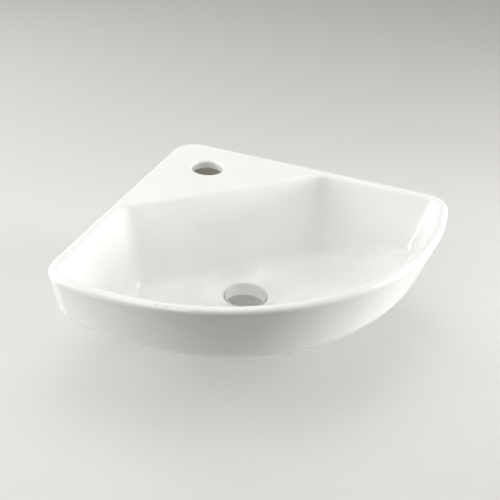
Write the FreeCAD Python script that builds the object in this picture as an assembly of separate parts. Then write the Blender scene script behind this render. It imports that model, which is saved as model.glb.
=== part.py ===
import FreeCAD, Part
import math
import os

# Corner wash basin, wall hung, in one glazed casting, with the kit that bolts it to two room walls.
# The origin is where the two room walls meet, at the level of the rim. +Z is up and -Y points out
# into the room along the diagonal, so each wall runs at 45 degrees to Y. Millimetres.

# Plan of the basin
front_reach = 360.0          # room corner to the foremost point of the rim
front_radius = 260.0         # curve of the front, at the rim
corner_radius = 28.0         # rounding where the two wall faces meet
outside_round = 28.0         # skirt into underside, and wall faces into the curved front
rim_width = 11.0             # rim along each wall
front_rim_width = 12.0       # rim along the curved front
ledge_reach = 134.0          # room corner to the front edge of the tap ledge

# Section of the basin
draft = 17.5                 # lean of the skirt and of every bowl wall, in degrees
wall = 9.5                  # thickness of the casting
ledge_thickness = 11.0       # thickness at the tap ledge
bowl_depth = 92.0            # rim down to the floor, measured at the waste
floor_slope = 0.16           # rise of the bowl floor away from the waste
underside_slope = 0.17       # rise of the underside away from the waste
bowl_round = 16.0            # bowl walls into the floor, and side walls into the front wall
bowl_corner_radius = 24.0    # ledge wall into side wall
outer_rim_round = 4.8
inner_rim_round = 6.5        # rim and ledge into the bowl

# Hollow back
flange_thickness = 10.5      # plate that bears on each wall
flange_depth = 111.0         # rim down to the lower edge of the plates
flange_flat_half = 130.0     # half width of the straight part of that lower edge
flange_end_half = 189.0      # half width where the lower edge has risen into the skirt
flange_end_depth = 43.0
slot_ceiling = 46.0          # rim down to the roof of the slot behind each side wall
slot_end_half = 185.0        # half width at the far ends of those slots
flange_edge_round = 3.0

# Tap hole and waste
tap_hole_radius = 17.5
tap_reach = 77.5             # room corner to the centre of the tap hole
tap_hole_top_round = 3.5
tap_hole_low_bevel = 1.5
waste_radius = 23.0
waste_reach = 197.0          # room corner to the centre of the waste
waste_top_round = 6.0
boss_radius = 34.0
boss_depth = 115.0           # rim down to the seat of the waste's back nut
boss_root_round = 6.0
boss_edge_bevel = 1.5
waste_low_bevel = 1.0

# Wall fixings, one set on each wall
fixing_run = 97.0           # room corner to the fixing, along the wall
fixing_depth = 85.0          # rim down to the fixing
fixing_hole_radius = 7.0
bolt_radius = 4.0
bolt_inside_length = 32.0    # wall face to the free end of the machine thread
bolt_screw_radius = 3.5      # core of the wood screw end
bolt_screw_length = 44.0     # wall face to the tip of the wood screw end
bolt_tip_length = 9.0
bolt_tip_radius = 0.8
bolt_end_chamfer = 0.8
plug_radius = 6.0
plug_length = 49.0
plug_nose_length = 3.0
plug_nose_radius = 4.4
plug_slit_width = 1.6
plug_slit_length = 34.0
plug_clearance = 0.2         # round the wood screw end
plug_floor = 3.0
bush_clearance = 0.2         # round the bolt and inside the fixing hole
bush_flange_radius = 12.0
bush_flange_thickness = 3.0
bush_nose_gap = 1.0          # the sleeve stops short of the room wall
washer_radius = 11.0
washer_thickness = 1.6
washer_clearance = 0.4
nut_across_flats = 13.0
nut_thickness = 6.5
nut_clearance = 0.05
nut_corner_round = 0.6       # depth of the chamfer that turns down the nut's corners

half = math.sqrt(0.5)
lean = math.tan(math.radians(draft))
skin = wall / math.cos(math.radians(draft))   # thickness of the casting measured level
far = 600.0              # beyond the basin in every direction
past = 1.0               # cutting shapes run this far past the faces they cut
near = 0.05              # places this close together count as the same
above_rim = 20.0         # the bowl's cutting shape is carried on this far above the rim
upright_rise = 20.0      # edges that climb more than this are the upright ones
beyond_ledge = 40.0      # the front ends lie further than this in front of the ledge
low_edges_below = 40.0   # edges round the floor and the underside lie deeper than this
up = FreeCAD.Vector(0, 0, 1)
sides = {"left": -1, "right": 1}


def vec(x, y, z=0.0):
    return FreeCAD.Vector(x, y, z)


def closed(corners):
    return Part.makePolygon(corners + corners[:1])


def room_corner_square(offset, z):
    """Level square between the two wall planes, each moved inwards by offset."""
    apex = -offset / half
    corners = [vec(0, apex, z), vec(far, apex - far, z)]
    corners += [vec(0, apex - 2 * far, z), vec(-far, apex - far, z)]
    return closed(corners)


def room_corner_prism(offset, z_low, z_high):
    return Part.Face(room_corner_square(offset, z_low)).extrude(vec(0, 0, z_high - z_low))


def leaning_prism(offset, z_low, z_high):
    """The same prism with walls that lean inwards by the draft; offset holds at rim level."""
    squares = [room_corner_square(offset - lean * z, z) for z in (z_low, z_high)]
    return Part.makeLoft(squares, True, True)


def leaning_drum(rim_radius, centre_y, z_low, z_high):
    """Upright cone that narrows downwards by the draft; rim_radius holds at rim level."""
    low = rim_radius + lean * z_low
    high = rim_radius + lean * z_high
    return Part.makeCone(low, high, z_high - z_low, vec(0, centre_y, z_low), up)


def ahead_of_ledge(offset, z_low, z_high):
    """Everything in front of the wall under the ledge's edge, which leans by the draft too."""
    edge_low = offset - ledge_reach + lean * z_low
    edge_high = offset - ledge_reach + lean * z_high
    section = [vec(-far, edge_low, z_low), vec(-far, edge_high, z_high)]
    section += [vec(-far, -2 * far, z_high), vec(-far, -2 * far, z_low)]
    return Part.Face(closed(section)).extrude(vec(2 * far, 0))


def dish(depth, slope, z_high):
    """Everything above a shallow cone whose point lies at the waste."""
    rim_z = -depth + slope * far
    top = max(z_high, rim_z) + past
    section = [vec(0, 0, -depth), vec(0, far, rim_z), vec(0, far, top), vec(0, 0, top)]
    solid = Part.Face(closed(section)).revolve(vec(0, 0), up, 360)
    solid.translate(vec(0, -waste_reach))
    return solid


def disc_at_waste(radius, z_low, z_high):
    return Part.makeCylinder(radius, z_high - z_low, vec(0, -waste_reach, z_low), up)


def middle(edge):
    return edge.valueAt((edge.FirstParameter + edge.LastParameter) / 2)


def round_edges(solid, radius, chosen):
    return solid.makeFillet(radius, [e for e in solid.Edges if chosen(e)])


def rises(edge):
    return edge.BoundBox.ZLength > upright_rise


def at_back_corner(edge):
    return rises(edge) and abs(middle(edge).x) < near


def at_front_end(edge):
    in_front = middle(edge).y < -ledge_reach - beyond_ledge
    return rises(edge) and in_front and not at_back_corner(edge)


def at_ledge_end(edge):
    return rises(edge) and not at_back_corner(edge) and not at_front_end(edge)


def low_loop(edge):
    return edge.BoundBox.ZMax < -low_edges_below


def high_loop(edge):
    return edge.BoundBox.ZMin > -near and edge.BoundBox.ZMax < near


def at_bowl_rim(edge):
    """Edges of the bowl's mouth, inside the level top of the rim."""
    place = middle(edge)
    reach_from_axis = math.hypot(place.x, place.y - front_axis_y)
    inside_walls = (-place.y - abs(place.x)) * half > rim_width - near
    inside_front = reach_from_axis < front_radius - front_rim_width + near
    past_ledge = place.y < -ledge_reach + near
    return high_loop(edge) and inside_walls and inside_front and past_ledge


def is_ring(edge, radius, centre_y, z):
    """True for a round edge of that radius, centred on the diagonal at that height."""
    box = edge.BoundBox
    place = middle(edge)
    on_circle = abs(math.hypot(place.x, place.y - centre_y) - radius) < near
    return on_circle and abs(box.ZMin - z) < near and abs(box.ZMax - z) < near


def at_flange_foot(edge):
    """Long edges of the plates' lower border."""
    is_low = edge.BoundBox.ZMin < -flange_end_depth - past
    return is_low and edge.Length > flange_thickness + past


front_axis_y = -(front_reach - front_radius)
underside_depth = bowl_depth + wall
bush_seat = flange_thickness + bush_flange_thickness
washer_seat = bush_seat + washer_thickness


def outer_form():
    """Outside of the casting: two upright wall faces, the leaning front and the dished underside."""
    low = -underside_depth
    form = room_corner_prism(0.0, low, 0.0)
    form = form.common(leaning_drum(front_radius, front_axis_y, low, 0.0))
    form = form.common(dish(underside_depth, underside_slope, 0.0))
    form = round_edges(form, outside_round, lambda e: at_front_end(e) or low_loop(e))
    corner = round_edges(room_corner_prism(0.0, low, 0.0), corner_radius, at_back_corner)
    form = form.common(corner)
    return round_edges(form, outer_rim_round, high_loop)


def bowl_form():
    """The space inside the bowl, carried on a little above the rim."""
    low, high = -bowl_depth, above_rim
    form = leaning_prism(rim_width, low, high)
    form = form.common(leaning_drum(front_radius - front_rim_width, front_axis_y, low, high))
    form = form.common(ahead_of_ledge(0.0, low, high))
    form = form.common(dish(bowl_depth, floor_slope, high))
    form = round_edges(form, bowl_corner_radius, at_ledge_end)
    return round_edges(form, bowl_round, lambda e: at_front_end(e) or low_loop(e))


def bowl_shell_form():
    """Outside of the bowl where it faces the hollow back, a wall thickness from the inside."""
    low, high = -flange_depth - past, past
    form = leaning_prism(rim_width - skin, low, high)
    form = form.common(ahead_of_ledge(skin, low, high))
    return round_edges(form, bowl_corner_radius + wall, at_ledge_end)


def wall_flanges():
    """The plates that bear on the two walls, joined round the corner, with a rising lower edge."""
    plates = room_corner_prism(0.0, -flange_depth, -corner_radius)
    plates = round_edges(plates, corner_radius, at_back_corner)
    inside = room_corner_prism(flange_thickness, -flange_depth, -corner_radius)
    inside = round_edges(inside, corner_radius - flange_thickness, at_back_corner)
    top = -corner_radius
    profile = [
        vec(-flange_flat_half, 0, -flange_depth),
        vec(flange_flat_half, 0, -flange_depth),
        vec(flange_end_half, 0, -flange_end_depth),
        vec(flange_end_half, 0, top),
        vec(-flange_end_half, 0, top),
        vec(-flange_end_half, 0, -flange_end_depth),
    ]
    outline = Part.Face(closed(profile)).extrude(vec(0, -far))
    plates = plates.cut(inside).common(outline)
    return round_edges(plates, flange_edge_round, at_flange_foot)


def hollow_back():
    """The open space under the ledge and the slots behind the side walls, entered from below."""
    low = -flange_depth - past
    under_ledge = room_corner_prism(flange_thickness, low, -ledge_thickness)
    under_ledge = round_edges(under_ledge, corner_radius - flange_thickness, at_back_corner)
    slots = room_corner_prism(flange_thickness, low, -slot_ceiling)
    divide = ledge_reach + wall
    behind = Part.makeBox(2 * far, divide, far, vec(-far, -divide, -far))
    ahead = Part.makeBox(2 * slot_end_half, far, far, vec(-slot_end_half, -divide - far, -far))
    space = under_ledge.common(behind).fuse(slots.common(ahead))
    return space.cut(bowl_shell_form())


def wall_frame(side):
    """Directions of one wall: along it, and out of the basin into it."""
    along = vec(side * half, -half)
    outward = vec(side * half, half)
    return along, outward


def on_wall(side, run, depth, inside):
    """A point seen from the room corner: run along the wall, depth below the rim, inside the room."""
    along, outward = wall_frame(side)
    return along * run - outward * inside + vec(0, 0, -depth)


def fixing_cylinder(side, radius, start, end):
    """Round bar on the axis of one fixing, from start to end inside the room (minus is in the wall)."""
    outward = wall_frame(side)[1]
    base = on_wall(side, fixing_run, fixing_depth, start)
    return Part.makeCylinder(radius, end - start, base, outward * -1)


def fixing_turned(side, profile):
    """Turned piece on the axis of one fixing, from (distance inside the room, radius) corners."""
    outward = wall_frame(side)[1]
    axis_point = on_wall(side, fixing_run, fixing_depth, 0.0)
    corners = [axis_point - outward * inside + vec(0, 0, radius) for inside, radius in profile]
    return Part.Face(closed(corners)).revolve(axis_point, outward, 360)


def round_ring(solid, radius, centre_y, z, rounding):
    return round_edges(solid, rounding, lambda edge: is_ring(edge, radius, centre_y, z))


def bevel_ring(solid, radius, centre_y, z, bevel):
    return solid.makeChamfer(bevel, [e for e in solid.Edges if is_ring(e, radius, centre_y, z)])


def basin():
    """The one-piece casting, rounded and bevelled last of all at its rim, tap hole, waste and boss."""
    body = outer_form().fuse(wall_flanges())
    boss = disc_at_waste(boss_radius, -boss_depth, -bowl_depth + bowl_round)
    body = body.fuse(boss).cut(bowl_form()).cut(hollow_back())
    body = body.cut(disc_at_waste(waste_radius, -far, 0.0))
    body = body.cut(Part.makeCylinder(tap_hole_radius, far, vec(0, -tap_reach, -far / 2), up))
    for side in sides.values():
        hole = fixing_cylinder(side, fixing_hole_radius, -past, flange_thickness + past)
        body = body.cut(hole)
    body = body.removeSplitter()
    body = round_edges(body, inner_rim_round, at_bowl_rim)
    body = round_ring(body, tap_hole_radius, -tap_reach, 0.0, tap_hole_top_round)
    body = bevel_ring(body, tap_hole_radius, -tap_reach, -ledge_thickness, tap_hole_low_bevel)
    floor_at_waste = -bowl_depth + floor_slope * waste_radius
    underside_at_boss = -underside_depth + underside_slope * boss_radius
    body = round_ring(body, waste_radius, -waste_reach, floor_at_waste, waste_top_round)
    body = bevel_ring(body, waste_radius, -waste_reach, -boss_depth, waste_low_bevel)
    body = bevel_ring(body, boss_radius, -waste_reach, -boss_depth, boss_edge_bevel)
    return round_ring(body, boss_radius, -waste_reach, underside_at_boss, boss_root_round)


def wall_plug(side):
    """Nylon plug, flush with the room wall, slit crosswise from its nose so that the screw spreads it."""
    bore = bolt_screw_radius + plug_clearance
    shoulder = -plug_length + plug_nose_length
    profile = [
        (0.0, bore),
        (0.0, plug_radius),
        (shoulder, plug_radius),
        (-plug_length, plug_nose_radius),
        (-plug_length, 0.0),
        (-plug_length + plug_floor, 0.0),
        (-plug_length + plug_floor, bore),
    ]
    plug = fixing_turned(side, profile)
    along, outward = wall_frame(side)
    nose = on_wall(side, fixing_run, fixing_depth, -plug_length)
    for across in ((along + up) * half, (along - up) * half):
        sideways = outward.cross(across)
        start = nose - across * (plug_slit_width / 2) - sideways * far / 2 + outward * past
        corners = [start, start + across * plug_slit_width]
        corners = corners + [c + sideways * far for c in reversed(corners)]
        slit = Part.Face(closed(corners)).extrude(outward * -(plug_slit_length + past))
        plug = plug.cut(slit)
    return plug


def hanger_bolt(side):
    """Steel stud: wood screw end in the wall plug, plain machine thread end inside the basin."""
    profile = [
        (-bolt_screw_length, 0.0),
        (-bolt_screw_length, bolt_tip_radius),
        (-bolt_screw_length + bolt_tip_length, bolt_screw_radius),
        (0.0, bolt_screw_radius),
        (0.0, bolt_radius),
        (bolt_inside_length - bolt_end_chamfer, bolt_radius),
        (bolt_inside_length, bolt_radius - bolt_end_chamfer),
        (bolt_inside_length, 0.0),
    ]
    return fixing_turned(side, profile)


def bush(side):
    """Nylon sleeve with a flange: it keeps the steel off the glaze and centres the bolt."""
    bore = bolt_radius + bush_clearance
    sleeve = fixing_hole_radius - bush_clearance
    profile = [
        (bush_nose_gap, bore),
        (bush_nose_gap, sleeve),
        (flange_thickness, sleeve),
        (flange_thickness, bush_flange_radius),
        (bush_seat, bush_flange_radius),
        (bush_seat, bore),
    ]
    return fixing_turned(side, profile)


def washer(side):
    bore = bolt_radius + washer_clearance
    profile = [
        (bush_seat, bore),
        (bush_seat, washer_radius),
        (washer_seat, washer_radius),
        (washer_seat, bore),
    ]
    return fixing_turned(side, profile)


def hex_nut(side):
    """Hexagon nut with its corners turned down at both faces."""
    bore = bolt_radius + nut_clearance
    corner = nut_across_flats / math.sqrt(3.0)
    end = washer_seat + nut_thickness
    turned = nut_across_flats / 2
    profile = [
        (washer_seat, bore),
        (washer_seat, turned),
        (washer_seat + nut_corner_round, corner),
        (end - nut_corner_round, corner),
        (end, turned),
        (end, bore),
    ]
    along, outward = wall_frame(side)
    centre = on_wall(side, fixing_run, fixing_depth, washer_seat)
    corners = []
    for step in range(6):
        angle = math.radians(60 * step)
        corners.append(centre + along * (corner * math.cos(angle)) + up * (corner * math.sin(angle)))
    hexagon = Part.Face(closed(corners)).extrude(outward * -nut_thickness)
    return hexagon.common(fixing_turned(side, profile))


def save(name, shape):
    solids = shape.Solids
    print(name, len(solids), "solid", round(shape.Volume / 1000, 1), "cm3", shape.isValid())
    shape.exportStep("parts/" + name + ".step")


os.makedirs("parts", exist_ok=True)
save("basin", basin())
fixings = {
    "wall_plug": wall_plug,
    "hanger_bolt": hanger_bolt,
    "bush": bush,
    "washer": washer,
    "hex_nut": hex_nut,
}
for side_name, side in sides.items():
    for piece_name, make_piece in fixings.items():
        save(side_name + "_" + piece_name, make_piece(side))
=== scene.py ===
import bpy
import math
from mathutils import Matrix, Vector


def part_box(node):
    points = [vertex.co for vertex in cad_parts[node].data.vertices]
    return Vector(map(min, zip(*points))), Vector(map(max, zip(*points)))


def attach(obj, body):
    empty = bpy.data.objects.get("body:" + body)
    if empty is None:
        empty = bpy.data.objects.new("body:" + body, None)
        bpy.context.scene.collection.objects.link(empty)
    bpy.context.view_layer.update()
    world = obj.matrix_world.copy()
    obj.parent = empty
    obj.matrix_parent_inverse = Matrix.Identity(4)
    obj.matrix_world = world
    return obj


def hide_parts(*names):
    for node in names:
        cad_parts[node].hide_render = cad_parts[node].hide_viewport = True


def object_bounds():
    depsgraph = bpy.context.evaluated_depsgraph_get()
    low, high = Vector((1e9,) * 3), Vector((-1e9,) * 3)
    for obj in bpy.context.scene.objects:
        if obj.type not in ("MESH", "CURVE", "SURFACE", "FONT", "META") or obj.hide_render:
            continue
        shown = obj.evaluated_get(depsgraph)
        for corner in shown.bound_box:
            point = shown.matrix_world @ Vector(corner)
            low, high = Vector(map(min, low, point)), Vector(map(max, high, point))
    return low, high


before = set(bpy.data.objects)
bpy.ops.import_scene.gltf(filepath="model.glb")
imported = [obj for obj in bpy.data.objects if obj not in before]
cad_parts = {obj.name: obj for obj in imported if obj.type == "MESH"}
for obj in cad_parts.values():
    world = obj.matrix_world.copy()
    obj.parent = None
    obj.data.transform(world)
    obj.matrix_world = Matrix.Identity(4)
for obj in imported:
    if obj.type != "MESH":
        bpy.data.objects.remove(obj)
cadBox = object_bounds()

# Corner basin in glazed china with its two wall fixings. Blender units are metres, the dictionaries
# below are in millimetres where they say nothing else.
mm = 0.001
half = math.sqrt(0.5)             # the room walls run at 45 degrees to both axes
sides = {"left": -1, "right": 1}
print("frame loaded,", len(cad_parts), "nodes")


def deselectAll():
    if bpy.context.object and bpy.context.object.mode != "OBJECT":
        bpy.ops.object.mode_set(mode="OBJECT")
    bpy.ops.object.select_all(action="DESELECT")


def makeActive(piece):
    deselectAll()
    piece.select_set(True)
    bpy.context.view_layer.objects.active = piece


def selectFaces(piece, wanted):
    # picks faces in code, by their centre and normal
    makeActive(piece)
    bpy.ops.object.mode_set(mode="EDIT")
    bpy.ops.mesh.select_all(action="DESELECT")
    bpy.ops.mesh.select_mode(type="FACE")
    bpy.ops.object.mode_set(mode="OBJECT")
    for face in piece.data.polygons:
        face.select = bool(wanted(face.center, face.normal))


def selectEdges(piece, wanted):
    # picks edges in code, by the places of their two ends
    makeActive(piece)
    bpy.ops.object.mode_set(mode="EDIT")
    bpy.ops.mesh.select_all(action="DESELECT")
    bpy.ops.mesh.select_mode(type="EDGE")
    bpy.ops.object.mode_set(mode="OBJECT")
    points = piece.data.vertices
    for edge in piece.data.edges:
        edge.select = bool(wanted(*[points[corner].co for corner in edge.vertices]))


def applyModifier(piece, kind, **settings):
    makeActive(piece)
    modifier = piece.modifiers.new(kind.lower(), kind)
    for name, value in settings.items():
        setattr(modifier, name, value)
    bpy.ops.object.modifier_apply(modifier=modifier.name)


def carve(piece, cutter, operation="DIFFERENCE"):
    applyModifier(piece, "BOOLEAN", object=cutter, operation=operation, solver="EXACT")
    bpy.data.objects.remove(cutter)


def smooth(piece, angle):
    makeActive(piece)
    bpy.ops.object.shade_smooth_by_angle(angle=math.radians(angle))


def linear(hexColour):
    # screen colour written as hex, turned into the linear colour that the shader wants
    parts = [int(hexColour[i:i + 2], 16) / 255 for i in (1, 3, 5)]
    return [c / 12.92 if c <= 0.04045 else ((c + 0.055) / 1.055) ** 2.4 for c in parts] + [1.0]


def addNode(tree, kind, settings, links):
    # settings go to the node's inputs by name, or else to its own properties
    node = tree.nodes.new(kind)
    for name, value in settings.items():
        if name in node.inputs:
            node.inputs[name].default_value = value
        else:
            setattr(node, name, value)
    for name, output in links.items():
        tree.links.new(output, node.inputs[name])
    return node


def startMaterial(name, sockets):
    material = bpy.data.materials.new(name)
    material.use_nodes = True
    tree = material.node_tree
    shader = tree.nodes["Principled BSDF"]
    for socket, value in sockets.items():
        shader.inputs[socket].default_value = value
    place = addNode(tree, "ShaderNodeTexCoord", {}, {}).outputs["Object"]
    return material, tree, shader, place


def noise(tree, place, size, detail):
    # soft patches, size in millimetres
    settings = {"Scale": 1 / (size * mm), "Detail": detail}
    return addNode(tree, "ShaderNodeTexNoise", settings, {"Vector": place}).outputs["Fac"]


def colourRamp(tree, value, *ends):
    # from one colour to the other, each end given as (value, colour)
    ramp = addNode(tree, "ShaderNodeValToRGB", {}, {"Fac": value})
    for index, (position, colour) in enumerate(ends):
        ramp.color_ramp.elements[index].position = position
        ramp.color_ramp.elements[index].color = linear(colour)
    return ramp.outputs["Color"]


def mix(tree, kind, share, low, high):
    # low where share is 0, high where it is 1. The node repeats its socket names for every kind of
    # value, so the sockets of the wanted kind are taken by number
    lowSocket, highSocket, result = {"RGBA": (6, 7, 2), "FLOAT": (2, 3, 0)}[kind]
    node = addNode(tree, "ShaderNodeMix", {"data_type": kind}, {0: share, lowSocket: low})
    node.inputs[highSocket].default_value = high
    return node.outputs[result]


patches = {
    "colourDetail": 3.0,
    "colourFrom": 0.35,           # noise values between which one colour goes over into the other
    "colourTo": 0.65,
    "roughnessDetail": 4.0,
    "roughnessFrom": 0.3,
    "roughnessTo": 0.7,
}


def patchyColour(tree, shader, place, size, dark, light):
    # soft patches of two close colours
    value = noise(tree, place, size, patches["colourDetail"])
    colour = colourRamp(tree, value, (patches["colourFrom"], dark), (patches["colourTo"], light))
    tree.links.new(colour, shader.inputs["Base Color"])


def patchyRoughness(tree, shader, place, size, low, high):
    # soft patches that shine more and less
    value = noise(tree, place, size, patches["roughnessDetail"])
    span = {"From Min": patches["roughnessFrom"], "From Max": patches["roughnessTo"],
            "To Min": low, "To Max": high}
    roughness = addNode(tree, "ShaderNodeMapRange", span, {"Value": value})
    tree.links.new(roughness.outputs["Result"], shader.inputs["Roughness"])


def unevenness(tree, shader, place, size, height, detail):
    # raised and sunk by height millimetres over patches of that size
    links = {"Height": noise(tree, place, size, detail)}
    bump = addNode(tree, "ShaderNodeBump", {"Strength": 1.0, "Distance": height * mm}, links)
    tree.links.new(bump.outputs["Normal"], shader.inputs["Normal"])


def glazedChina():
    # vitreous china under a fired clear-white glaze: a hard gloss that ripples a little where it ran
    material, tree, shader, place = startMaterial("glazed vitreous china", {"IOR": 1.52})
    patchyColour(tree, shader, place, size=70, dark="#F1F1EE", light="#F5F5F3")
    patchyRoughness(tree, shader, place, size=25, low=0.07, high=0.11)
    unevenness(tree, shader, place, size=16, height=0.02, detail=1.0)
    return material


def thinGlaze():
    # inside of the hollow back: the glaze was only poured through, so it is creamier and half matt
    material, tree, shader, place = startMaterial("thin poured glaze", {"IOR": 1.50})
    patchyColour(tree, shader, place, size=22, dark="#E4E1D8", light="#EFEEE9")
    patchyRoughness(tree, shader, place, size=9, low=0.28, high=0.55)
    unevenness(tree, shader, place, size=5, height=0.06, detail=3.0)
    return material


def bareChina():
    # fired body without glaze, ground flat where it bears on a wall or a washer: dry and chalky
    material, tree, shader, place = startMaterial("bare fired china", {"IOR": 1.50})
    patchyColour(tree, shader, place, size=8, dark="#DCD7CA", light="#E1DDD2")
    patchyRoughness(tree, shader, place, size=3, low=0.75, high=0.95)
    unevenness(tree, shader, place, size=0.8, height=0.05, detail=4.0)
    return material


def mouldedNylon():
    # natural nylon 6, injection moulded: milky, slightly see-through and softly shiny
    sockets = {"IOR": 1.53, "Subsurface Weight": 0.25, "Subsurface Scale": 0.002}
    material, tree, shader, place = startMaterial("moulded natural nylon", sockets)
    patchyColour(tree, shader, place, size=6, dark="#D6D1C0", light="#E0DCCD")
    patchyRoughness(tree, shader, place, size=2, low=0.38, high=0.52)
    unevenness(tree, shader, place, size=0.7, height=0.015, detail=2.0)
    return material


def zincPlate():
    # mild steel with bright zinc plate: pale grey metal with a faint yellow and blue cast
    material, tree, shader, place = startMaterial("bright zinc plated steel", {"Metallic": 1.0})
    patchyColour(tree, shader, place, size=3, dark="#B9BDC2", light="#CFCDC4")
    patchyRoughness(tree, shader, place, size=1.5, low=0.24, high=0.4)
    unevenness(tree, shader, place, size=0.5, height=0.01, detail=3.0)
    return material


def seenDirectly(tree):
    # 1 where the camera, a reflection or a clear material looks at the surface,
    # 0 where the surface only throws light
    rays = addNode(tree, "ShaderNodeLightPath", {}, {}).outputs
    mirrored = addNode(tree, "ShaderNodeMath", {"operation": "MAXIMUM"},
                       {0: rays["Is Camera Ray"], 1: rays["Is Glossy Ray"]})
    seen = addNode(tree, "ShaderNodeMath", {"operation": "MAXIMUM"},
                   {0: mirrored.outputs["Value"], 1: rays["Is Transmission Ray"]})
    return seen.outputs["Value"]


board = {
    "colour": "#D6D5D2",          # as it is seen
    "paintedLitColour": "#E6E5E2",      # painted pool of light, only in the light thrown on the basin: close to it and further away
    "paintedShadeColour": "#707070",
    "middle": (0, -0.2, 0),       # metres
    "fadeFrom": 0.27,             # metres from there
    "fadeTo": 0.38,
}


def matteBoard():
    # painted board under the basin: pale and without gloss. A pool of light is painted into the colour
    # that lights the basin, pale round the middle and dark further out, as if the board were a small
    # table in a dark room
    material, tree, shader, place = startMaterial("matt painted board", {"IOR": 1.4})
    fromMiddle = addNode(tree, "ShaderNodeVectorMath", {"operation": "DISTANCE"}, {0: place})
    fromMiddle.inputs[1].default_value = board["middle"]
    # painted pool of light: the colour that lights the basin goes from pale to dark grey away from the
    # middle
    paintedPool = colourRamp(tree, fromMiddle.outputs["Value"], (board["fadeFrom"], board["paintedLitColour"]),
                        (board["fadeTo"], board["paintedShadeColour"]))
    colour = mix(tree, "RGBA", seenDirectly(tree), paintedPool, linear(board["colour"]))
    tree.links.new(colour, shader.inputs["Base Color"])
    patchyRoughness(tree, shader, place, size=60, low=0.85, high=0.95)
    return material


finishes = {
    "glaze": glazedChina(),
    "thinGlaze": thinGlaze(),
    "bare": bareChina(),
    "nylon": mouldedNylon(),
    "zinc": zincPlate(),
    "board": matteBoard(),
}
print("materials made")


basinSizes = {
    "ledgeFront": 134.0,          # room corner to the front edge of the tap ledge
    "ledgeThickness": 11.0,
    "rimWidth": 11.0,
    "plate": 10.5,                # thickness of the plates on the wall
    "lean": 0.315,                # how far the bowl walls move inwards for each unit of depth
    "depth": 92.0,                # of the construction's floor at the waste
    "rise": 0.16,                 # of that floor for each unit away from the waste
    "waste": -197.0,              # its place on the diagonal
    "wasteEdge": 25.0,            # radius where the funnel round the waste is deepest
    "funnelReach": 46.0,          # radius where it begins
    "funnelDrop": 8.0,
    "boss": 36.0,                 # radius of the underside that stays as it is
    "levelFrom": 2.0,             # rise that is left before the real floor runs level
    "levelReach": 112.0,          # the real floor is level this far from the waste
    "endReach": 176.0,            # and has risen to the construction's floor here
    "levelUntil": -200.0,         # in front of this line it goes over to the construction's floor
    "plainFrom": -262.0,          # and has reached it at this line
    "rimRound": 10.0,             # nothing above this depth moves
    "underFloor": 2.0,            # lower than this under the floor is the underside
    "finestEdge": 8.0,            # longer edges are halved before the floor is shaped
    "halvings": 5,
    "leastDrop": 0.1,             # edges that move less are left whole
    "mergeWithin": 0.002,
    "smoothAngle": 32.0,          # degrees, edges sharper than this stay crisp
    "normalWeight": 50,           # 50 weighs the faces plainly by their area
    "tolerance": 0.1,
    "wallTolerance": 0.05,
    "seatHeight": 5.0,            # level faces this close to the lowest point are ground
    "hollowMargin": 5.0,          # the thin glaze ends this far short of the bowl's inner faces
    "towardsCorner": 0.6,         # share of a wall face's normal that points into the corner, at least
    "upright": 0.02,              # share that points up or down, at most
    "downwards": 0.98,            # share of a level face's normal that points down, at least
}


def makeBasin():
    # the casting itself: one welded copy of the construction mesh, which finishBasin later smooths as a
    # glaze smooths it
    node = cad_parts["basin"]
    makeActive(node)
    bpy.ops.object.duplicate()
    basin = bpy.context.object
    basin.name = "basin_casting"
    basin.parent = None
    for key in [key for key in basin.keys() if key.startswith("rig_")]:
        del basin[key]
    makeActive(basin)
    bpy.ops.mesh.customdata_custom_splitnormals_clear()
    bpy.ops.object.mode_set(mode="EDIT")
    bpy.ops.mesh.select_all(action="SELECT")
    bpy.ops.mesh.remove_doubles(threshold=basinSizes["mergeWithin"] * mm)
    bpy.ops.object.mode_set(mode="OBJECT")
    return basin


def ease(value, start, end):
    # 0 at start, 1 at end, level at both
    share = min(max((value - start) / (end - start), 0), 1)
    return share * share * (3 - 2 * share)


def floorDrop(point):
    # how much deeper the bowl is at that place than the construction's dish
    sizes = basinSizes
    y = point.y / mm
    depth = -point.z / mm
    fromWaste = math.hypot(point.x / mm, y - sizes["waste"])
    if min(wallDistances(point)) < sizes["plate"] + sizes["tolerance"]:
        return 0
    drop = max(sizes["rise"] * fromWaste - sizes["levelFrom"], 0)
    drop *= ease(fromWaste, sizes["endReach"], sizes["levelReach"])
    drop *= ease(y, sizes["plainFrom"], sizes["levelUntil"])
    if depth < sizes["depth"] + sizes["underFloor"]:
        drop += sizes["funnelDrop"] * ease(fromWaste, sizes["funnelReach"], sizes["wasteEdge"])
    else:
        drop *= ease(fromWaste, sizes["boss"], sizes["funnelReach"])
    floor = sizes["depth"] - sizes["rise"] * fromWaste
    share = (depth - sizes["rimRound"]) / (floor - sizes["rimRound"])
    return drop * min(max(share, 0), 1)


def shapeBowl(basin):
    # long edges are halved until the mesh can follow the shape, then floor and underside are pressed down
    def tooLong(a, b):
        if (a - b).length <= basinSizes["finestEdge"] * mm:
            return False
        return max(floorDrop(a), floorDrop(b)) > basinSizes["leastDrop"]

    for halving in range(basinSizes["halvings"]):
        selectEdges(basin, tooLong)
        bpy.ops.object.mode_set(mode="EDIT")
        bpy.ops.mesh.subdivide(number_cuts=1)
        bpy.ops.object.mode_set(mode="OBJECT")
    for vertex in basin.data.vertices:
        vertex.co.z -= floorDrop(vertex.co) * mm


def finishBasin(basin):
    # large faces lead the shading and only the sharp edges stay crisp
    smooth(basin, basinSizes["smoothAngle"])
    applyModifier(basin, "WEIGHTED_NORMAL", weight=basinSizes["normalWeight"], keep_sharp=True)


def wallDistances(point):
    # how far a point is from the left and the right room wall, in millimetres
    return [-(side * point.x + point.y) * half / mm for side in sides.values()]


def onWallFace(centre, normal):
    # upright faces that touch a room wall
    upright = normal.y > basinSizes["towardsCorner"] and abs(normal.z) < basinSizes["upright"]
    return upright and min(wallDistances(centre)) < basinSizes["wallTolerance"]


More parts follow.
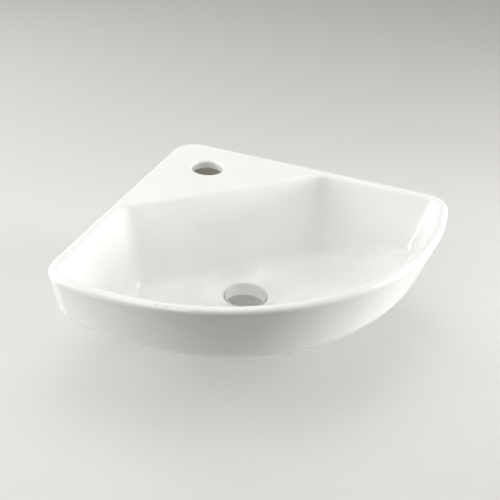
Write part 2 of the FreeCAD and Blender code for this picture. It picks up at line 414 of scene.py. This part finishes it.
def onGroundSeat(centre, normal):
    # level faces that look down near the lowest point: under the waste boss and the wall plates
    highest = cadBox[0].z + basinSizes["seatHeight"] * mm
    return normal.z < -basinSizes["downwards"] and centre.z < highest


def inHollowBack(centre, normal):
    # everything under the ledge and behind the bowl's walls, inside the plates
    depth = -centre.z / mm
    nearestWall = min(wallDistances(centre))
    shift = basinSizes["lean"] * depth - basinSizes["hollowMargin"]
    behindBowl = -centre.y / mm < basinSizes["ledgeFront"] + shift
    besideBowl = nearestWall < basinSizes["rimWidth"] + shift
    insidePlates = nearestWall > basinSizes["plate"] - basinSizes["tolerance"]
    underLedge = depth > basinSizes["ledgeThickness"] - basinSizes["tolerance"]
    return underLedge and insidePlates and (behindBowl or besideBowl)


def dressBasin(basin):
    basin.data.materials.clear()
    for finish in ("glaze", "thinGlaze", "bare"):
        basin.data.materials.append(finishes[finish])
    for index, wanted in ((1, inHollowBack), (2, onWallFace), (2, onGroundSeat)):
        selectFaces(basin, wanted)
        basin.active_material_index = index
        bpy.ops.object.mode_set(mode="EDIT")
        bpy.ops.object.material_slot_assign()
        bpy.ops.object.mode_set(mode="OBJECT")


basin = makeBasin()
shapeBowl(basin)
finishBasin(basin)
dressBasin(basin)
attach(basin, "root")
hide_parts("basin")
print("basin ready,", len(basin.data.polygons), "faces")


# Each piece of the fixings is modelled once along Z, where Z is the distance from the wall face into
# the room, and then laid on the axis of the right-hand and the left-hand fixing.
turning = {
    "weldWithin": 0.03,
    "ridgeWeldWithin": 0.001,
    "ridgeShare": 0.8,            # part of the pitch that a thread's ridge covers
    "ridgeSink": 0.1,             # the ridge starts this far inside the core
    "onAxis": 0.02,               # radius that stands for a point on the axis
}


def turnedPiece(name, outline, around=48):
    # a ring is extruded from corner to corner of the outline (distance, radius), as on a lathe
    deselectAll()
    distance, radius = outline[0]
    bpy.ops.mesh.primitive_circle_add(vertices=around, radius=radius * mm, location=(0, 0, distance * mm))
    piece = bpy.context.object
    piece.name = name
    bpy.ops.object.mode_set(mode="EDIT")
    bpy.ops.mesh.select_all(action="SELECT")
    for nextDistance, nextRadius in outline[1:]:
        step = (0, 0, (nextDistance - distance) * mm)
        scale = nextRadius / radius
        bpy.ops.mesh.extrude_edges_move(TRANSFORM_OT_translate={"value": step})
        bpy.ops.transform.resize(value=(scale, scale, 1))
        distance, radius = nextDistance, nextRadius
    bpy.ops.mesh.select_all(action="SELECT")
    bpy.ops.mesh.remove_doubles(threshold=turning["weldWithin"] * mm)
    bpy.ops.mesh.fill_holes(sides=0)
    bpy.ops.mesh.normals_make_consistent(inside=False)
    bpy.ops.object.mode_set(mode="OBJECT")
    bpy.ops.object.transform_apply(location=True, rotation=True, scale=True)
    return piece


def threadRidge(name, start, end, pitch, root, crest, around=28):
    # a three-sided ring of edges, swept up the axis by a Screw modifier
    ringSide = math.sqrt(3)
    ringHeight = 1.5
    width = turning["ridgeShare"] * pitch
    height = crest - root + turning["ridgeSink"]
    deselectAll()
    bpy.ops.mesh.primitive_circle_add(vertices=3, radius=1, rotation=(math.radians(90), 0, 0))
    ridge = bpy.context.object
    ridge.name = name
    bpy.ops.object.transform_apply(location=False, rotation=True, scale=True)
    outermost = max(ridge.data.vertices, key=lambda vertex: vertex.co.z).co.z
    bpy.ops.object.mode_set(mode="EDIT")
    bpy.ops.mesh.select_all(action="SELECT")
    bpy.ops.transform.translate(value=(0, 0, -outermost))
    bpy.ops.object.mode_set(mode="OBJECT")
    ridge.scale = (width * mm / ringSide, 1, height * mm / ringHeight)
    ridge.rotation_euler = (0, math.radians(90), 0)
    ridge.location = (crest * mm, 0, start * mm)
    bpy.ops.object.transform_apply(location=True, rotation=True, scale=True)
    turns = int((end - start) / pitch)
    applyModifier(ridge, "SCREW", axis="Z", angle=2 * math.pi, screw_offset=pitch * mm,
                  iterations=turns, steps=around, render_steps=around)
    bpy.ops.object.mode_set(mode="EDIT")
    bpy.ops.mesh.select_all(action="SELECT")
    bpy.ops.mesh.remove_doubles(threshold=turning["ridgeWeldWithin"] * mm)
    bpy.ops.mesh.fill_holes(sides=0)
    bpy.ops.mesh.normals_make_consistent(inside=False)
    bpy.ops.object.mode_set(mode="OBJECT")
    return ridge


def join(main, *others):
    makeActive(main)
    for other in others:
        other.select_set(True)
    bpy.ops.object.join()
    return main


def layOnFixing(piece, side):
    # turns the piece's Z axis into the room, square to its wall, and moves it onto the fixing's axis
    low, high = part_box(side + "_washer")
    centre = (low + high) / 2
    outward = Vector((sides[side] * half, half, 0))
    piece.location = centre - outward * centre.dot(outward)
    piece.rotation_euler = (-outward).to_track_quat("Z", "Y").to_euler()
    makeActive(piece)
    bpy.ops.object.transform_apply(location=True, rotation=True, scale=True)


def fitBothSides(piece, nodeName, finish, angle):
    smooth(piece, angle)
    piece.data.materials.clear()
    piece.data.materials.append(finish)
    makeActive(piece)
    bpy.ops.object.duplicate()
    twin = bpy.context.object
    baseName = piece.name
    for fitted, side in ((piece, "right"), (twin, "left")):
        fitted.name = baseName + "_" + side
        layOnFixing(fitted, side)
        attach(fitted, "root")
        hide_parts(side + "_" + nodeName)
    print(nodeName, "ready,", len(piece.data.polygons), "faces")


plug = {
    "radius": 6.0,
    "bore": 3.7,
    "length": 49.0,
    "nose": 4.4,
    "noseLength": 2.6,
    "floor": 3.0,
    "collar": 5.0,            # plain stretch at the mouth
    "barbPitch": 4.5,
    "barbs": 9,
    "barbDepth": 0.7,
    "barbFace": 0.3,          # length of a barb's steep side
    "barbLand": 0.4,          # flat stretch on its edge
    "slitWidth": 1.6,
    "slitLength": 34.0,
    "slitTurns": (45, -45),   # degrees about the axis
    "overcut": 1.0,           # the cutter reaches this far past the nose
    "smoothAngle": 30,        # degrees
}


def makePlug():
    # barbs that lean back towards the room hold it in the wall, slits let the screw spread it
    outline = [(0, plug["bore"]), (0, plug["radius"]), (-plug["collar"], plug["radius"])]
    low = plug["radius"] - plug["barbDepth"]
    for number in range(plug["barbs"]):
        mouth = -plug["collar"] - number * plug["barbPitch"]
        outline += [(mouth - plug["barbFace"], low)]
        outline += [(mouth - plug["barbPitch"] + plug["barbLand"], plug["radius"])]
        outline += [(mouth - plug["barbPitch"], plug["radius"])]
    end = -plug["length"]
    outline += [(end + plug["noseLength"], plug["radius"]), (end, plug["nose"]), (end, turning["onAxis"])]
    outline += [(end + plug["floor"], turning["onAxis"]), (end + plug["floor"], plug["bore"])]
    outline += [(0, plug["bore"])]
    piece = turnedPiece("wall_plug", outline)
    for turn in plug["slitTurns"]:
        deselectAll()
        middle = end + (plug["slitLength"] - plug["overcut"]) / 2
        bpy.ops.mesh.primitive_cube_add(size=1, location=(0, 0, middle * mm))
        slit = bpy.context.object
        height = plug["slitLength"] + plug["overcut"]
        slit.scale = (plug["slitWidth"] * mm, 4 * plug["radius"] * mm, height * mm)
        slit.rotation_euler = (0, 0, math.radians(turn))
        carve(piece, slit)
    return piece


bolt = {
    "inside": 32.0,           # wall face to the free end
    "threadStart": 6.5,
    "threadCrest": 4.0,
    "threadRoot": 3.4,
    "threadPitch": 1.25,      # metric coarse thread, 8 mm
    "runOut": 0.6,            # cone from the plain shank to the thread's root
    "startGap": 0.2,          # plain stretch before the ridge of the machine thread
    "endGap": 0.9,            # room left for the ridge before the free end
    "endChamfer": 0.4,
    "neck": 1.0,              # plain neck behind the wall face, which has narrowed to
    "neckCone": 1.5,          # the wood screw's root here
    "screwEnd": 2.0,          # the wood thread keeps this far behind the wall face
    "screwLength": 44.0,
    "tip": 0.3,               # radius of the point
    "screwCrest": 3.5,
    "screwRoot": 2.5,
    "screwPitch": 2.8,        # wood screw thread
    "tipLength": 9.0,
    "smoothAngle": 35,        # degrees
}


def makeBolt():
    # wood screw into the plug, plain shank through the wall face, machine thread into the room
    tip = -bolt["screwLength"]
    shoulder = tip + bolt["tipLength"]
    outline = [(tip, bolt["tip"]), (shoulder, bolt["screwRoot"]), (-bolt["neckCone"], bolt["screwRoot"])]
    outline += [(-bolt["neck"], bolt["screwCrest"]), (0, bolt["screwCrest"]), (0, bolt["threadCrest"])]
    outline += [(bolt["threadStart"], bolt["threadCrest"])]
    outline += [(bolt["threadStart"] + bolt["runOut"], bolt["threadRoot"])]
    outline += [(bolt["inside"] - bolt["endChamfer"], bolt["threadRoot"])]
    outline += [(bolt["inside"], bolt["threadRoot"] - bolt["endChamfer"])]
    core = turnedPiece("hanger_bolt", outline)
    machine = threadRidge("machine_thread", bolt["threadStart"] + bolt["startGap"],
                          bolt["inside"] - bolt["endGap"], bolt["threadPitch"],
                          bolt["threadRoot"], bolt["threadCrest"])
    wood = threadRidge("wood_thread", shoulder, -bolt["screwEnd"], bolt["screwPitch"],
                       bolt["screwRoot"], bolt["screwCrest"])
    return join(core, machine, wood)


bush = {
    "sleeve": 6.8,
    "bore": 4.2,
    "noseGap": 1.0,
    "flange": 12.0,
    "flangeThickness": 3.0,
    "edge": 0.5,
    "fineEdge": 0.2,          # on the flange's side to the china
    "boreEdge": 0.3,
    "smoothAngle": 30,        # degrees
}


def makeBush():
    # sleeve through the china with a flange that spreads the nut's load
    seat = basinSizes["plate"]
    top = seat + bush["flangeThickness"]
    edge = bush["edge"]
    outline = [(bush["noseGap"], bush["bore"]), (bush["noseGap"], bush["sleeve"] - edge)]
    outline += [(bush["noseGap"] + edge, bush["sleeve"]), (seat, bush["sleeve"])]
    outline += [(seat, bush["flange"] - bush["fineEdge"]), (seat + bush["fineEdge"], bush["flange"])]
    outline += [(top - edge, bush["flange"]), (top, bush["flange"] - edge)]
    outline += [(top, bush["bore"] + bush["boreEdge"]), (top - bush["boreEdge"], bush["bore"])]
    outline += [(bush["noseGap"], bush["bore"])]
    return turnedPiece("bush", outline)


washer = {
    "radius": 11.0,
    "bore": 4.4,
    "thickness": 1.6,
    "rolledEdge": 0.35,       # the side that the die entered
    "burrEdge": 0.1,
    "shoulderShare": 0.3,     # how far in the rolled edge's middle lies, as a part of its size
    "around": 64,             # corners of its ring
    "smoothAngle": 30,        # degrees
}


def makeWasher():
    # stamped ring: one side rolled over, the other with a fine burr
    seat = basinSizes["plate"] + bush["flangeThickness"]
    top = seat + washer["thickness"]
    rolled, burr = washer["rolledEdge"], washer["burrEdge"]
    outline = [(seat, washer["bore"]), (seat, washer["radius"] - burr), (seat + burr, washer["radius"])]
    shoulder = rolled * washer["shoulderShare"]
    outline += [(top - rolled, washer["radius"]), (top - shoulder, washer["radius"] - shoulder)]
    outline += [(top, washer["radius"] - rolled), (top, washer["bore"] + rolled)]
    outline += [(top - rolled, washer["bore"]), (seat, washer["bore"])]
    return turnedPiece("washer", outline, washer["around"])


nut = {
    "acrossFlats": 13.0,
    "thickness": 6.5,
    "bore": 4.05,
    "cornerChamfer": 0.6,
    "boreChamfer": 0.5,
    "clearance": 0.1,         # the turned outline passes this far outside the corners
    "around": 72,             # corners of the turned ring
    "smoothAngle": 25,        # degrees
}


def makeNut():
    # a hexagon, cut to a turned outline that chamfers its corners
    seat = basinSizes["plate"] + bush["flangeThickness"] + washer["thickness"]
    top = seat + nut["thickness"]
    corner = nut["acrossFlats"] / math.sqrt(3)
    flat = nut["acrossFlats"] / 2
    deselectAll()
    bpy.ops.mesh.primitive_cylinder_add(vertices=6, radius=corner * mm, depth=nut["thickness"] * mm,
                                        location=(0, 0, (seat + top) / 2 * mm))
    piece = bpy.context.object
    piece.name = "hex_nut"
    bpy.ops.object.transform_apply(location=True, rotation=True, scale=True)
    chamfer, mouth = nut["cornerChamfer"], nut["boreChamfer"]
    outside = corner + nut["clearance"]
    outline = [(seat, nut["bore"] + mouth), (seat, flat), (seat + chamfer, outside)]
    outline += [(top - chamfer, outside), (top, flat), (top, nut["bore"] + mouth)]
    outline += [(top - mouth, nut["bore"]), (seat + mouth, nut["bore"]), (seat, nut["bore"] + mouth)]
    carve(piece, turnedPiece("turned_nut", outline, nut["around"]), "INTERSECT")
    return piece


fitBothSides(makePlug(), "wall_plug", finishes["nylon"], plug["smoothAngle"])
fitBothSides(makeBolt(), "hanger_bolt", finishes["zinc"], bolt["smoothAngle"])
fitBothSides(makeBush(), "bush", finishes["nylon"], bush["smoothAngle"])
fitBothSides(makeWasher(), "washer", finishes["zinc"], washer["smoothAngle"])
fitBothSides(makeNut(), "hex_nut", finishes["zinc"], nut["smoothAngle"])


studio = {
    "floorSize": 6.0,         # metres
    "floorGap": 0.03,         # metres under the basin's lowest point, which hangs free
    "backdrop": "#E9E9E7",
    "backdropLight": 1.0,     # where it is seen, 1 shows its own colour
    "lowLight": 0.05,         # strength of the light from the horizon and from above
    "highLight": 0.65,
    "fadeFrom": 0.1,          # height of a direction, where 0 is level and 1 straight up
    "fadeTo": 0.7,
}

# places, aims and sizes in metres, power in watts, spread in degrees where it is narrowed
lamps = {
    "overhead": {"place": (-0.1, -0.1, 1.2), "aim": (0, -0.22, 0), "size": 0.9, "power": 3.5},
    "rightSide": {"place": (1.13, -0.6, 0.35), "aim": (0.1, -0.22, -0.03), "size": 0.8, "power": 8.5},
    "leftSide": {"place": (-1.15, 0.12, 0.35), "aim": (-0.1, -0.22, -0.03), "size": 0.8, "power": 9.0},
    "lowRight": {"place": (1.13, -0.6, 0.03), "aim": (0.1, -0.22, -0.03), "size": 0.3, "power": 1.3,
                 "spread": 60},
    "lowLeft": {"place": (-1.15, 0.15, 0.03), "aim": (-0.1, -0.22, -0.03), "size": 0.3, "power": 0.6,
                "spread": 60},
    "backLeft": {"place": (-0.45, 0.95, 0.65), "aim": (0, -0.3, -0.03), "size": 0.7, "power": 3.0},
}


def makeFloor():
    deselectAll()
    level = cadBox[0].z - studio["floorGap"]
    bpy.ops.mesh.primitive_plane_add(size=studio["floorSize"], location=(0, 0, level))
    floor = bpy.context.object
    floor.name = "floor"
    bpy.ops.object.transform_apply(location=True, rotation=True, scale=True)
    floor.data.materials.append(finishes["board"])


def makeLamp(name, lamp):
    deselectAll()
    bpy.ops.object.light_add(type="AREA", location=lamp["place"])
    light = bpy.context.object
    light.name = name
    light.data.shape = "SQUARE"
    light.data.size = lamp["size"]
    light.data.energy = lamp["power"]
    light.data.spread = math.radians(lamp.get("spread", 180))
    towards = Vector(lamp["aim"]) - Vector(lamp["place"])
    light.rotation_euler = towards.to_track_quat("-Z", "Y").to_euler()


def makeWorld():
    world = bpy.data.worlds.new("studio")
    bpy.context.scene.world = world
    world.use_nodes = True
    tree = world.node_tree
    sky = tree.nodes["Background"]
    sky.inputs["Color"].default_value = linear(studio["backdrop"])
    # soft light from above that fades towards the horizon, before a plain pale backdrop
    direction = addNode(tree, "ShaderNodeTexCoord", {}, {}).outputs["Generated"]
    height = addNode(tree, "ShaderNodeSeparateXYZ", {}, {"Vector": direction}).outputs["Z"]
    span = {"From Min": studio["fadeFrom"], "From Max": studio["fadeTo"],
            "To Min": studio["lowLight"], "To Max": studio["highLight"]}
    light = addNode(tree, "ShaderNodeMapRange", span, {"Value": height}).outputs["Result"]
    strength = mix(tree, "FLOAT", seenDirectly(tree), light, studio["backdropLight"])
    tree.links.new(strength, sky.inputs["Strength"])


makeFloor()
for lampName, lampSettings in lamps.items():
    makeLamp(lampName, lampSettings)
makeWorld()

# the camera was matched to the photo: angles in degrees, places in metres
view = {
    "azimuth": -26.35,        # 0 looks along +Y
    "elevation": 31.81,
    "roll": 3.89,
    "target": (-0.02756, -0.25601, 0.0),
    "distance": 0.868,        # from the target
    "focalPixels": 892.4,     # focal length in pixels of the picture
    "picturePixels": 500,
    "sensor": 36.0,           # mm
}


def makeCamera():
    azimuth, elevation, roll = [math.radians(view[angle]) for angle in ("azimuth", "elevation", "roll")]
    level = math.cos(elevation)
    back = Vector((math.sin(azimuth) * level, -math.cos(azimuth) * level, math.sin(elevation)))
    across = Vector((0, 0, 1)).cross(back).normalized()
    upward = back.cross(across)
    right = across * math.cos(roll) + upward * math.sin(roll)
    top = upward * math.cos(roll) - across * math.sin(roll)
    place = Vector(view["target"]) + back * view["distance"]
    deselectAll()
    bpy.ops.object.camera_add(location=place)
    camera = bpy.context.object
    rows = [[right[i], top[i], back[i], place[i]] for i in range(3)]
    camera.matrix_world = Matrix(rows + [[0, 0, 0, 1]])
    camera.data.sensor_width = view["sensor"]
    camera.data.lens = view["focalPixels"] / view["picturePixels"] * view["sensor"]
    bpy.context.scene.camera = camera


makeCamera()
bpy.context.scene.view_settings.view_transform = "Standard"
print("floor, lamps and camera ready")
